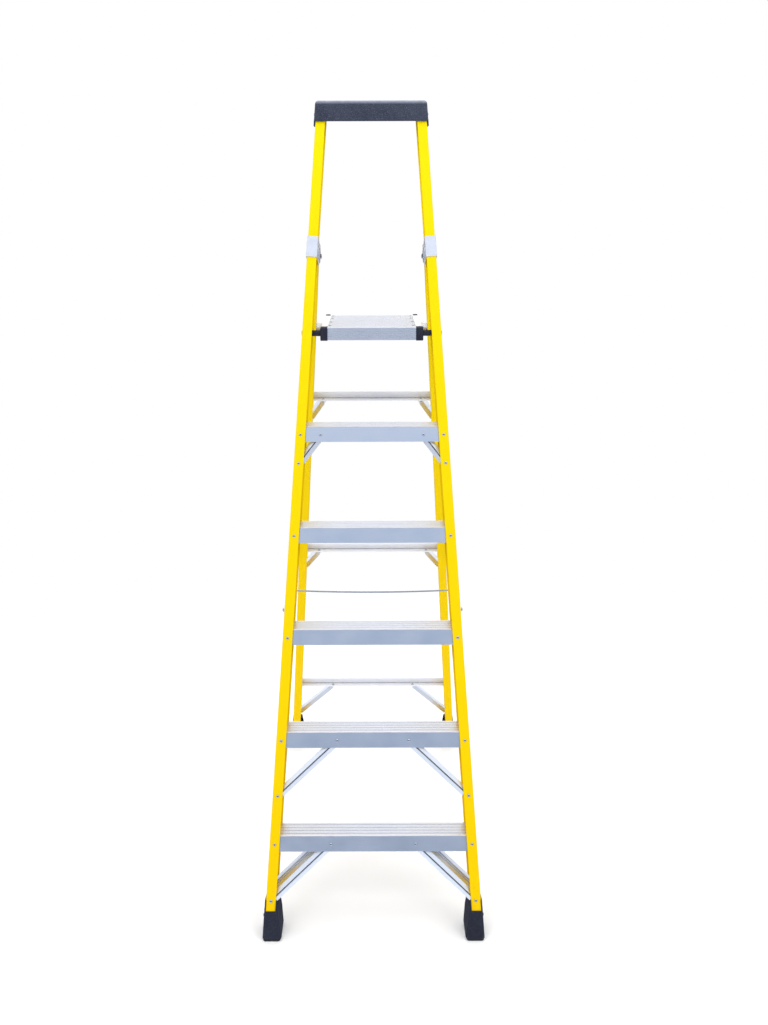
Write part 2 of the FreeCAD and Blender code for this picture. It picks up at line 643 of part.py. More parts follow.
def top_cap():
    outer = cap_block(CAP_FRONT_GAP + CAP_WALL, CAP_FRONT_LOW_Z, CAP_BACK_LOW_Z, CAP_TOP_Z)
    long_edges = edges_along(outer, X_AXIS)
    top_edges = [edge for edge in long_edges if edge.CenterOfMass.z > CAP_TOP_Z - 1]
    side_edges = [edge for edge in outer.Edges if edge.BoundBox.ZMin > CAP_TOP_Z - 1
                  and edge.BoundBox.YLength > 50]
    upright = [edge for edge in outer.Edges if edge.BoundBox.ZLength > 20
               and edge.BoundBox.XLength < 20 and edge.BoundBox.YLength < 60]
    outer = outer.makeFillet(CAP_ROUND, top_edges + side_edges + upright)
    inner = cap_block(CAP_FRONT_GAP, CAP_FRONT_LOW_Z - 40, CAP_FRONT_LOW_Z - 40, CAP_TOP_Z - 5)
    shell = outer.cut(inner)
    lobes = []
    behind = FRONT_RAIL_DEPTH / COS_F
    for sign in (-1, 1):
        low = CAP_SIDE_LOW_Z
        y0 = front_plane_y(low)
        lobe = prism_x([(y0 + 2, low), (y0 + behind * 0.72, low), (y0 + behind + 8, CAP_BACK_LOW_Z + 6),
                        (front_plane_y(CAP_FRONT_LOW_Z + 6), CAP_FRONT_LOW_Z + 6)],
                       sign * 120, sign * FRONT_HALF_WIDTH)
        ring = cap_block(CAP_FRONT_GAP + CAP_WALL, low - 5, low - 5, CAP_TOP_Z - 20)
        lobes.append(lobe.common(ring).cut(inner))
    shell = join([shell] + lobes)
    rib_z = CAP_TOP_Z - 30
    for part in (0.35, 0.65):
        y = front_plane_y(CAP_TOP_Z) + behind * part
        shell = shell.fuse(box(-140, 140, y - 1.5, y + 1.5, rib_z, CAP_TOP_Z - 4))
    return shell.removeSplitter()


def cap_rivets():
    """Left side: two rivets through the cap's side wall and the rail web."""
    pairs = []
    for depth in (26, 58):
        up = front_up(CAP_RIVET_Z, depth)
        outer = front_x(up)
        wall = -(FRONT_HALF_WIDTH + CAP_SIDE_GAP + CAP_WALL - CAP_RIVET_Z * RAIL_TAPER)
        pairs.append((Vector(wall - RIVET_SEAT, depth, up),
                      Vector(outer + RAIL_WALL + RIVET_SEAT, depth, up)))
    return pairs


# ---------------------------------------------------------------- feet
PAD_THICK = 8.0
BOOT_FRONT_Z = 87.0
BOOT_SIDE_Z = 120.0
BOOT_BRACE_Z = 92.0          # above this the inner side is open between the rail's flanges


def boot_section(x0, x1_front, x1_back, y0, y1, z, cut):
    """Eight-sided outline: straight outer side, inner side wider at the back."""
    corners = [(x0 + cut, y0), (x1_front - cut, y0), (x1_front, y0 + cut), (x1_back, y1 - cut),
               (x1_back - cut, y1), (x0 + cut, y1), (x0, y1 - cut), (x0, y0 + cut)]
    points = [Vector(x, y, z) for x, y in corners]
    return Part.makePolygon(points + points[:1])


def boot(frame, half_width, taper, slope, depth, flange, rail_frame, top_up):
    """Moulded shoe round a left rail's lower end; slope is the rail's y gained per z.

    Its upper end is cut square to the rail at top_up along the slope.
    """
    lean = math.cos(math.atan(slope))

    def section(z, out, in_front, in_back, toe, heel, cut=5.0):
        x = -(half_width - taper * z)
        y = frame.Base.y + slope * z
        return boot_section(x - out, x + in_front, x + in_back, y - toe, y + depth / lean + heel,
                            z, cut)

    outline = [section(PAD_THICK, 3.5, 55.0, 55.6, 5.0, 7.0),
               section(60.0, 3.8, 43.5, 47.5, 4.0, 5.0),
               section(BOOT_FRONT_Z, 3.6, 38.0, 40.5, 3.8, 4.5),
               section(BOOT_SIDE_Z, 3.2, 33.9, 34.2, 3.6, 4.0, 4.0)]
    shoe = Part.makeLoft(outline, True, True)
    pocket = box(-CLEAR, flange + CLEAR, -CLEAR, depth + CLEAR, -60, 300)
    openings = [between_heights(placed(pocket, rail_frame), RAIL_BOTTOM_Z - CLEAR, 300)]
    for y0, y1 in ((-30, 10), (depth - 10, depth + 30)):
        window = box(-CLEAR, flange + CLEAR, y0, y1, 0, 300)
        openings.append(between_heights(placed(window, rail_frame), BOOT_FRONT_Z, 300))
    relief = box(flange - 2, flange + 30, RAIL_WALL + CLEAR, depth - RAIL_WALL - CLEAR, 0, 300)
    openings.append(between_heights(placed(relief, rail_frame), BOOT_BRACE_Z, 300))
    openings.append(placed(box(-60, 120, -60, depth + 60, top_up, top_up + 200), rail_frame))
    sole = section(PAD_THICK, 1.5, 53.0, 53.6, 3.0, 5.0)
    tread = section(0.0, 0.5, 51.5, 52.1, 1.5, 4.0)
    pad = Part.makeLoft([tread, sole], True, True)
    grooves = []
    for i in range(5):
        y = pad.BoundBox.YMin + pad.BoundBox.YLength * (i + 0.75) / 5.5
        grooves.append(box(-400, -200, y - 2, y + 2, -1, 2.5))
    return drilled(shoe, openings), drilled(pad, grooves)


BOOT_RIVET_Z = 62.0
BOOT_SIDE_WALL = 5.0         # from the rail's web to just outside the shoe's outer wall


def boot_rivets(up_of, x_of, depth):
    """Left side: two rivets through the shoe's outer wall and the rail web."""
    pairs = []
    for share in (0.3, 0.7):
        up = up_of(BOOT_RIVET_Z, depth * share)
        x = x_of(up)
        pairs.append((Vector(x - BOOT_SIDE_WALL - RIVET_SEAT, depth * share, up),
                      Vector(x + RAIL_WALL + RIVET_SEAT, depth * share, up)))
    return pairs


# ---------------------------------------------------------------- platform
PIVOT = Vector(0, front_plane_y(PLATFORM_PIVOT_Z) + PLATFORM_PIVOT_BEHIND, PLATFORM_PIVOT_Z)
DECK_FRONT = PIVOT.y - 18.6
DECK_BACK = DECK_FRONT + PLATFORM_DEPTH
APRON_LOW = PLATFORM_TOP_Z - 40.5
SIDE_RAIL_LOW = PLATFORM_TOP_Z - 28.0
SIDE_RAIL_REST = REST_BAR_TOP_Z + 0.4
SIDE_FRONT = PIVOT.y + 17.5
REST_FRONT = REAR_FRAME.multVec(Vector(0, 0, rear_up(REST_BAR_TOP_Z))).y
REST_BACK = REAR_FRAME.multVec(Vector(0, REAR_RAIL_DEPTH, rear_up(REST_BAR_TOP_Z, REAR_RAIL_DEPTH))).y
CAP_OUT = 164.4
LEDGE_END = -PLATFORM_DECK_HALF + 15.7  # the side rail's ledge reaches this far under the deck
LEDGE_LOW = 6.1              # from the deck's top to the ledge's underside


def platform_deck():
    """Ribbed deck with a deep grooved front apron and a short back apron."""
    top, under = PLATFORM_TOP_Z, PLATFORM_TOP_Z - 3.6
    front = [(DECK_FRONT, APRON_LOW)]
    for i in range(5):
        z = APRON_LOW + 5.0 + i * 6.6
        front += [(DECK_FRONT, z), (DECK_FRONT + 0.7, z + 0.5), (DECK_FRONT + 0.7, z + 1.9),
                  (DECK_FRONT, z + 2.4)]
    outline = front + [(DECK_FRONT, top - 2), (DECK_FRONT + 2, top)]
    outline += ribbed_top(DECK_FRONT + 8, DECK_BACK - 4, top)
    outline += [(DECK_BACK, top), (DECK_BACK, top - 22), (DECK_BACK - 3, top - 22), (DECK_BACK - 3, under)]
    for share in (0.9, 0.5, 0.35, 0.2):
        y = DECK_FRONT + PLATFORM_DEPTH * share
        outline += [(y + 1.2, under), (y + 1.2, under - 8), (y - 1.2, under - 8), (y - 1.2, under)]
    outline += [(DECK_FRONT + 3, under), (DECK_FRONT + 3, APRON_LOW)]
    deck = prism_x(outline, -PLATFORM_DECK_HALF, PLATFORM_DECK_HALF)
    ledge_room = box(-PLATFORM_DECK_HALF - 1, LEDGE_END + 1, SIDE_FRONT - 1, DECK_BACK - 3,
                     under - 12, under)
    return drilled(deck, both_sides([ledge_room]))


def platform_side_rail():
    """Left side channel: a ledge below the deck, a top flange and a web notched for the rest bar."""
    top = PLATFORM_TOP_Z
    back = DECK_BACK - 1
    outer, inner = -PLATFORM_HALF, -PLATFORM_DECK_HALF - 0.3
    web = prism_x([(SIDE_FRONT, SIDE_RAIL_LOW), (REST_FRONT - 14, SIDE_RAIL_LOW),
                   (REST_FRONT - 4, SIDE_RAIL_REST), (REST_BACK + 4, SIDE_RAIL_REST),
                   (REST_BACK + 8, SIDE_RAIL_LOW), (back, SIDE_RAIL_LOW), (back, top),
                   (SIDE_FRONT, top)], outer, outer + SHEET)
    flange = box(outer, inner, SIDE_FRONT, back, top - 3, top)
    step_down = box(inner - 2.4, inner, SIDE_FRONT, back, top - LEDGE_LOW, top - 3)
    ledge = box(inner - 2.4, LEDGE_END, SIDE_FRONT, DECK_BACK - 3.2, top - LEDGE_LOW, top - 3.7)
    return join([web, flange, step_down, ledge])


LEDGE_RIVET_X = -PLATFORM_DECK_HALF + 7.0
PLATFORM_RIVET_SHARES = (0.15, 0.43, 0.74, 0.94)


def platform_rivets():
    """Left side: rivets down through the deck and the side rail's ledge."""
    pairs = []
    for share in PLATFORM_RIVET_SHARES:
        head = Vector(LEDGE_RIVET_X, DECK_FRONT + PLATFORM_DEPTH * share, PLATFORM_TOP_Z)
        pairs.append((head, head - Vector(0, 0, LEDGE_LOW)))
    return pairs


HOOK_OUTER = -PLATFORM_HALF + SHEET + 0.2
HOOK_SHEET = 2.4


def platform_hook():
    """Left steel hook inside the side rail: it straddles the rest bar from behind."""
    top = PLATFORM_TOP_Z - 3.3
    back = DECK_BACK - 8
    plate = prism_x([(REST_FRONT - 60, top - 17), (REST_FRONT - 12, top - 17),
                     (REST_FRONT - 4, SIDE_RAIL_REST), (REST_BACK + 4, SIDE_RAIL_REST),
                     (REST_BACK + 7, SIDE_RAIL_REST - 26),
                     (REST_BACK + 20, SIDE_RAIL_REST - 30), (REST_BACK + 30, SIDE_RAIL_REST - 18),
                     (back, top - 15), (back, top), (REST_FRONT - 60, top)],
                    HOOK_OUTER, HOOK_OUTER + HOOK_SHEET)
    return plate


def hook_rivets():
    pairs = []
    for y in (REST_FRONT - 45, REST_BACK + 42):
        z = PLATFORM_TOP_Z - 13
        pairs.append((Vector(-PLATFORM_HALF, y, z), Vector(HOOK_OUTER + HOOK_SHEET, y, z)))
    return pairs


def platform_end_cap():
    """Left black corner block at the deck's front, bored for the axle."""
    block = box(-CAP_OUT, -PLATFORM_DECK_HALF - 0.2, DECK_FRONT - 1.5, SIDE_FRONT - 0.3,
                APRON_LOW - 2.3, PLATFORM_TOP_Z + 0.6)
    block = rounded(block, 6.0, X_AXIS)
    block = rounded(block, 3.0, Y_AXIS, [Vector(-CAP_OUT, 0, APRON_LOW - 2.3),
                                         Vector(-CAP_OUT, 0, PLATFORM_TOP_Z + 0.6)], 2.0)
    return block.cut(axle_drill())


def platform_corner_plug():
    """Left black plug in the back end of the side rail, a little proud of the deck."""
    plug = box(-PLATFORM_HALF + 0.5, -PLATFORM_DECK_HALF - 3.2, DECK_BACK - 0.8, DECK_BACK + 5,
               SIDE_RAIL_LOW + 1, PLATFORM_TOP_Z + 3.5)
    return rounded(plug, 2.5, Y_AXIS)


def axle_point(x):
    return Vector(x, PIVOT.y, PIVOT.z)


def axle_drill(play=HOLE_PLAY):
    return rod(axle_point(-260), axle_point(260), PLATFORM_AXLE_RADIUS + play)


def axle_rail_x(inward):
    """x on the left front rail, where the axle meets it."""
    depth = PLATFORM_PIVOT_BEHIND * COS_F
    return front_x(front_up(PLATFORM_PIVOT_Z, depth), inward)


def platform_axle():
    """Steel rod from rail to rail, with a low head outside each web."""
    end = axle_rail_x(0) - 0.6
    shank = rod(axle_point(end), axle_point(-end), PLATFORM_AXLE_RADIUS)
    heads = [rod(axle_point(end - 1.6), axle_point(end), 8.0),
             rod(axle_point(-end), axle_point(-end + 1.6), 8.0)]
    return join([shank] + heads)


def platform_bush():
    """Black spacer on the axle between the left rail web and the platform."""
    return tube(axle_point(axle_rail_x(RAIL_WALL) + 0.8), axle_point(-CAP_OUT - 0.5), 9.5,
                PLATFORM_AXLE_RADIUS + HOLE_PLAY)


# ---------------------------------------------------------------- spreader
SPREAD_UP = front_up(SPREADER_FRONT_Z, SPREADER_FRONT_BEHIND)
SPREAD_F = FRONT_FRAME.multVec(Vector(0, SPREADER_FRONT_BEHIND, SPREAD_UP))
SPREAD_DROP = HINGE_UP_FRONT - SPREAD_UP
SPREAD_R_UP = HINGE_UP_REAR - SPREAD_DROP
SPREAD_R = REAR_FRAME.multVec(Vector(0, REAR_RAIL_DEPTH / 2 + 8, SPREAD_R_UP))
LINK_FRONT_X = front_x(SPREAD_UP) - 5.2
LINK_REAR_X = LINK_FRONT_X - SPREADER_THICK - 0.6


def spreader_middle():
    """Where the links meet: above the straight line by the stated angle."""
    span = SPREAD_R - SPREAD_F
    along = span * SPREADER_FRONT_SHARE
    rise = along.Length * math.tan(math.radians(SPREADER_RISE))
    up = Vector(0, -span.z, span.y).normalize()
    return SPREAD_F + along + up * rise


SPREAD_M = spreader_middle()
SPREAD_DIR = (SPREAD_M - SPREAD_F).normalize()
ROD_POINT = SPREAD_F + SPREAD_DIR * CROSS_ROD_FROM_PIVOT


def at_x(point, x):
    return Vector(x, point.y, point.z)


def link(start, end, outer_x, holes):
    """Flat bar with round ends between two points, outer face at outer_x."""
    along = (end - start).normalize()
    side = Vector(0, -along.z, along.y) * (SPREADER_WIDTH / 2)
    corners = [at_x(p, outer_x) for p in (start + side, end + side, end - side, start - side)]
    bar = Part.Face(Part.makePolygon(corners + corners[:1])).extrude(X_AXIS * SPREADER_THICK)
    eyes = [rod(at_x(p, outer_x), at_x(p, outer_x + SPREADER_THICK), SPREADER_WIDTH / 2)
            for p in (start, end)]
    bar = join([bar] + eyes)
    drills = [rod(at_x(p, outer_x - 2), at_x(p, outer_x + SPREADER_THICK + 2), radius)
              for p, radius in holes]
    return bar.cut(Part.makeCompound(drills))


def cross_rod():
    """Steel wire between the front links, bowed down a little, with a collar outside each."""
    inner = -LINK_FRONT_X - SPREADER_THICK - 1
    head = -LINK_FRONT_X + 0.2
    radius = (inner ** 2 + CROSS_ROD_SAG ** 2) / (2 * CROSS_ROD_SAG)
    reach = math.degrees(math.asin(inner / radius))
    lowest = at_x(ROD_POINT, 0) - Vector(0, 0, CROSS_ROD_SAG)
    centre = lowest + Vector(0, 0, radius)
    ring = Part.Face(Part.Wire([Part.makeCircle(CROSS_ROD_RADIUS, lowest, X_AXIS)]))
    ring.rotate(centre, Y_AXIS, reach)
    bow = ring.revolve(centre, Y_AXIS, -2 * reach)
    ends = [rod(at_x(ROD_POINT, -head - 1.8), at_x(ROD_POINT, -inner + 1), CROSS_ROD_END_RADIUS),
            rod(at_x(ROD_POINT, -head - 1.8), at_x(ROD_POINT, -head), CROSS_ROD_RADIUS + 1.8)]
    return join([bow] + both_sides(ends))


def pivot_stack(point, web_x, bar_x, bolt_radius):
    """Left pivot: bolt with a button head outside the bar, nut inside the web, spacer between."""
    head_x = bar_x - 0.2
    inside = web_x + RAIL_WALL + 1.0
    dome = Part.makeCone(7.2, 4.2, 3.4, at_x(point, head_x - 0.8), X_AXIS * -1)
    bolt = join([rod(at_x(point, head_x), at_x(point, inside + 4.6), bolt_radius),
                 rod(at_x(point, head_x - 0.8), at_x(point, head_x), 7.2), dome])
    nut = hex_prism(at_x(point, inside), X_AXIS, 12.0, 4.0)
    nut = nut.cut(rod(at_x(point, inside - 1), at_x(point, inside + 9), bolt_radius + 0.02))
    spacer = tube(at_x(point, bar_x + SPREADER_THICK + 0.3), at_x(point, web_x - 1.0), 7.0,
                  bolt_radius + HOLE_PLAY)
    return bolt, nut, spacer


# ---------------------------------------------------------------- build
def pair_rivets(pairs):
    return [rivet(head, tail) for head, tail in pairs]


def pair_drills(pairs):
    return [drill(head, tail) for head, tail in pairs]


def in_frame(shapes, frame):
    return [placed(shape, frame) for shape in shapes]


def build_front_frame():
    step_pairs = front_step_rivets()
    brace_pairs = []
    straps = {}
    for name, number, reach, low, back in (
            ("step_1_front_braces", 1, 132.0, 116.0, False),
            ("step_1_rear_braces", 1, 132.0, 116.0, True),
            ("step_2_braces", 2, 112.0, 423.0, False),
            ("step_5_gussets", 5, 163.0, 1414.0, False)):
        strap, pairs = front_brace(number, reach, low, back)
        straps[name] = drilled(strap, pair_drills(pairs))
        brace_pairs += pairs
    local_drills = both_sides(pair_drills(step_pairs + brace_pairs))
    for number in range(1, STEP_COUNT + 1):
        tread = drilled(step(number), local_drills)
        save("step_%d" % number, placed(tread, FRONT_FRAME))
    for name, strap in straps.items():
        save_both(name, placed(strap, FRONT_FRAME))
    fixings = in_frame(pair_rivets(step_pairs + brace_pairs), FRONT_FRAME)
    save("front_frame_rivets", both_sides(fixings))

    cap_pairs = cap_rivets()
    boot_pairs = boot_rivets(front_up, front_x, FRONT_RAIL_DEPTH)
    side_pairs = step_pairs + brace_pairs + cap_pairs + boot_pairs
    saddle_drills = [on_front_rail(drill(head, tail)) for head, tail in SADDLE_RIVETS]
    rail_drills = in_frame(pair_drills(side_pairs), FRONT_FRAME) + saddle_drills
    web_x = front_x(SPREAD_UP)
    bolt_drill = rod(at_x(SPREAD_F, -400), at_x(SPREAD_F, 0), SPREADER_BOLT_RADIUS + HOLE_PLAY)
    rail_drills += [axle_drill(), bolt_drill]
    save_pair("front_rail", drilled(front_rail(), rail_drills))

    cap_drills = both_sides(in_frame(pair_drills(cap_pairs), FRONT_FRAME))
    save("top_cap", drilled(top_cap(), cap_drills))
    save("top_cap_rivets", both_sides(in_frame(pair_rivets(cap_pairs), FRONT_FRAME)))

    save_pair("hinge_saddle", on_front_rail(saddle()).cut(hinge_drill()))
    save_both("hinge_inner_plates", on_front_rail(hinge_plate()).cut(hinge_drill()))
    fixings = [on_front_rail(rivet(head, tail)) for head, tail in SADDLE_RIVETS + PLATE_RIVETS]
    save("hinge_saddle_rivets", both_sides(fixings))
    save("hinge_bolts", both_sides([hinge_bolt()]))
    save("hinge_lock_nuts", both_sides([hinge_nut()]))
    save("hinge_spacer_tubes", both_sides([hinge_spacer()]))

    slope = SIN_F / COS_F
    shoe, pad = boot(FRONT_FRAME, FRONT_HALF_WIDTH, RAIL_TAPER, slope, FRONT_RAIL_DEPTH,
                     FRONT_RAIL_FLANGE, FRONT_RAIL_FRAME, front_up(BOOT_SIDE_Z))
    save_pair("front_boot", drilled(shoe, in_frame(pair_drills(boot_pairs), FRONT_FRAME)))
    save_pair("front_foot_pad", pad)

    save("platform_axle", platform_axle())
    save_both("platform_pivot_bushes", platform_bush())

    bolt, nut, spacer = pivot_stack(SPREAD_F, web_x, LINK_FRONT_X, SPREADER_BOLT_RADIUS)
    save("spreader_front_pivots", both_sides([bolt, nut, spacer]))
    return boot_pairs


def build_rear_frame():
    bars = (("rear_bar_upper", 1563.0, 173.0, 1462.0),
            ("rear_bar_middle", 948.0, 205.0, 848.0),
            ("rear_bar_lower", 310.0, 164.0, 137.0))
    all_pairs = rest_bar_rivets()
    pieces = {}
    for name, top_z, gusset_x, low_z in bars:
        bar, gusset, pairs = rear_angle_parts(top_z, gusset_x, low_z)
        pieces[name] = bar
        save_both(name + "_gussets", placed(drilled(gusset, pair_drills(pairs)), REAR_FRAME))
        all_pairs += pairs
    local_drills = both_sides(pair_drills(all_pairs))
    web_x = rear_x(SPREAD_R_UP)
    nut_room = rod(at_x(SPREAD_R, -400), at_x(SPREAD_R, web_x + RAIL_WALL + 7.0), 9.0)
    for name, bar in pieces.items():
        bar = placed(drilled(bar, local_drills), REAR_FRAME)
        save(name, drilled(bar, both_sides([nut_room])))
    save("platform_rest_bar", placed(drilled(rest_bar(), local_drills), REAR_FRAME))

    boot_pairs = boot_rivets(rear_up, rear_x, REAR_RAIL_DEPTH)
    drills = in_frame(pair_drills(all_pairs + boot_pairs), REAR_FRAME)
    bolt_drill = rod(at_x(SPREAD_R, -400), at_x(SPREAD_R, 0), SPREADER_BOLT_RADIUS + HOLE_PLAY)
    rail = drilled(rear_rail(), drills + [hinge_drill(), bolt_drill])
    save_pair("rear_rail", rail)
    save("rear_frame_rivets", both_sides(in_frame(pair_rivets(all_pairs), REAR_FRAME)))

    slope = -SIN_R / COS_R
    shoe, pad = boot(REAR_FRAME, REAR_HALF_WIDTH, REAR_TAPER / COS_R, slope, REAR_RAIL_DEPTH,
                     REAR_RAIL_FLANGE, REAR_RAIL_FRAME, rear_up(BOOT_SIDE_Z, REAR_RAIL_DEPTH))
    save_pair("rear_boot", drilled(shoe, in_frame(pair_drills(boot_pairs), REAR_FRAME)))
    save_pair("rear_foot_pad", pad)

    bolt, nut, spacer = pivot_stack(SPREAD_R, web_x, LINK_REAR_X, SPREADER_BOLT_RADIUS)
    save("spreader_rear_pivots", both_sides([bolt, nut, spacer]))
    return boot_pairs


def build_platform():
    rivets = platform_rivets()
    hooks = hook_rivets()
    drills = both_sides(pair_drills(rivets + hooks))
    save("platform_deck", drilled(platform_deck(), drills))
    save_pair("platform_side_rail", drilled(platform_side_rail(), drills))
    save_both("platform_hooks", drilled(platform_hook(), drills))
    save_both("platform_end_caps", platform_end_cap())
    save_both("platform_corner_plugs", platform_corner_plug())
    save("platform_rivets", both_sides(pair_rivets(rivets + hooks)))


def build_spreader():
    rod_hole = CROSS_ROD_RADIUS + 0.3
    front = link(SPREAD_F, SPREAD_M, LINK_FRONT_X,
                 [(SPREAD_F, SPREADER_BOLT_RADIUS + HOLE_PLAY), (ROD_POINT, rod_hole),
                  (SPREAD_M, RIVET_RADIUS + HOLE_PLAY)])
    save_pair("spreader_front_link", front)
    rear = link(SPREAD_R, SPREAD_M, LINK_REAR_X,
                [(SPREAD_R, SPREADER_BOLT_RADIUS + HOLE_PLAY)])
    save_pair("spreader_rear_link", rear)
    save("spreader_cross_rod", cross_rod())
    seat = at_x(SPREAD_M, LINK_FRONT_X + SPREADER_THICK)
    stud = rivet(seat, at_x(SPREAD_M, LINK_FRONT_X))
    outside = box(LINK_FRONT_X - 5, LINK_FRONT_X, SPREAD_M.y - 9, SPREAD_M.y + 9,
                  SPREAD_M.z - 9, SPREAD_M.z + 9)
    save("spreader_middle_studs", both_sides([stud.cut(outside)]))


front_boot_pairs = build_front_frame()
rear_boot_pairs = build_rear_frame()
save("boot_rivets_front", both_sides(in_frame(pair_rivets(front_boot_pairs), FRONT_FRAME)))
save("boot_rivets_rear", both_sides(in_frame(pair_rivets(rear_boot_pairs), REAR_FRAME)))
build_platform()
build_spreader()
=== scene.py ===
import json
import math

import bmesh
import bpy
from mathutils import Matrix, Vector


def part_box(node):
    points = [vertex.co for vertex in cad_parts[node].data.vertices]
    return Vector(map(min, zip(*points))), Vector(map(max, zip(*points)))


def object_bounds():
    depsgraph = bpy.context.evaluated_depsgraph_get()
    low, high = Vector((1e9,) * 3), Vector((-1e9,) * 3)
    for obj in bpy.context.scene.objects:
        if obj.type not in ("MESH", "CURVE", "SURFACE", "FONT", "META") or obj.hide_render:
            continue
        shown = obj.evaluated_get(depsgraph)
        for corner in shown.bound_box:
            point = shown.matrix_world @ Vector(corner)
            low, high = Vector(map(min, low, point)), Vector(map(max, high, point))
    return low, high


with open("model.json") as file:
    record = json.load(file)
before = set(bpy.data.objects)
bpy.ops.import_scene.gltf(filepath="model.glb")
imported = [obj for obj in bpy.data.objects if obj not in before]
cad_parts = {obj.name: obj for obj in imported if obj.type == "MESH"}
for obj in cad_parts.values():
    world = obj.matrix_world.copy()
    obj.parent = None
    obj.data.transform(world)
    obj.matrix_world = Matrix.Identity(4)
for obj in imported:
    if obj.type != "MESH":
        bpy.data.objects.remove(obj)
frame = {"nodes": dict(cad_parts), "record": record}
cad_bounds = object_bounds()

# Lengths are in metres, angles in degrees, colours in linear red, green and blue, and noise
# scales in features per metre, unless a line says otherwise.

# ---------------------------------------------------------------- camera
CAMERA_DISTANCE = 3.024       # in front of the foot of the front rails
CAMERA_HEIGHT = 2.205
CAMERA_DOWN = 15.32           # below the horizon
CAMERA_ROLL = -0.17
CAMERA_LENS = 39.58           # millimetres, like the sensor's long side
CAMERA_SENSOR = 36.0
CAMERA_SHIFT = 0.0114         # part of the long side
CAMERA_FAR = 200.0

NODES = frame["nodes"]
FRONT_FOOT_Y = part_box("front_rail_left")[0].y


def make_camera():
    data = bpy.data.cameras.new("camera")
    data.lens = CAMERA_LENS
    data.sensor_width = CAMERA_SENSOR
    data.sensor_fit = "AUTO"
    data.shift_x = CAMERA_SHIFT
    data.clip_end = CAMERA_FAR
    camera = bpy.data.objects.new("camera", data)
    turn = Matrix.Rotation(math.radians(90 - CAMERA_DOWN), 4, "X")
    turn = turn @ Matrix.Rotation(math.radians(CAMERA_ROLL), 4, "Z")
    place = Matrix.Translation((0, FRONT_FOOT_Y - CAMERA_DISTANCE, CAMERA_HEIGHT))
    camera.matrix_world = place @ turn
    bpy.context.scene.collection.objects.link(camera)
    bpy.context.scene.camera = camera


# ---------------------------------------------------------------- node helpers
UP = (0, 0, 1)
BACK = (0, 1, 0)
MIX_A, MIX_B, MIX_RESULT = 6, 7, 2      # the colour sockets of a Mix node


def rgba(colour):
    """A colour with its alpha, or a socket as it is."""
    return colour if isinstance(colour, bpy.types.NodeSocket) else (*colour, 1.0)


class Nodes:
    """A node tree, with short calls for the nodes used here."""

    def __init__(self, tree, coordinate):
        self.tree = tree
        self.tree.nodes.clear()
        self.place = self.node("ShaderNodeTexCoord", output=coordinate)

    def feed(self, socket, value):
        if isinstance(value, bpy.types.NodeSocket):
            self.tree.links.new(value, socket)
        else:
            socket.default_value = value

    def node(self, kind, inputs=(), output=0, **settings):
        made = self.tree.nodes.new(kind)
        for key, value in settings.items():
            setattr(made, key, value)
        for key, value in dict(inputs).items():
            self.feed(made.inputs[key], value)
        return made.outputs[output]

    def math(self, operation, a, b=0.0):
        return self.node("ShaderNodeMath", {0: a, 1: b}, operation=operation)

    def times(self, a, b):
        return self.math("MULTIPLY", a, b)

    def plus(self, a, b):
        return self.math("ADD", a, b)

    def dot(self, a, b):
        return self.node("ShaderNodeVectorMath", {0: a, 1: b}, output="Value",
                         operation="DOT_PRODUCT")

    def along(self, direction):
        """Distance of a point along a direction."""
        return self.dot(self.place, direction)

    def span(self, value, low, high, to_low=0.0, to_high=1.0):
        """The value's place between low and high, clamped, as a number from to_low to to_high."""
        inputs = {"Value": value, "From Min": low, "From Max": high,
                  "To Min": to_low, "To Max": to_high}
        return self.node("ShaderNodeMapRange", inputs, output="Result", clamp=True)

    def cover(self, value, low, high, strength=1.0):
        """Nothing where the value is at low, the strength where it is at high."""
        return self.span(value, low, high, 0.0, strength)

    def mix(self, factor, a, b):
        inputs = {"Factor": factor, MIX_A: rgba(a), MIX_B: rgba(b)}
        return self.node("ShaderNodeMix", inputs, output=MIX_RESULT, data_type="RGBA")

    def layered(self, colour, *layers):
        """The colour under a stack of layers, each a cover and the tone it brings."""
        for cover, tone in layers:
            colour = self.mix(cover, colour, tone)
        return colour


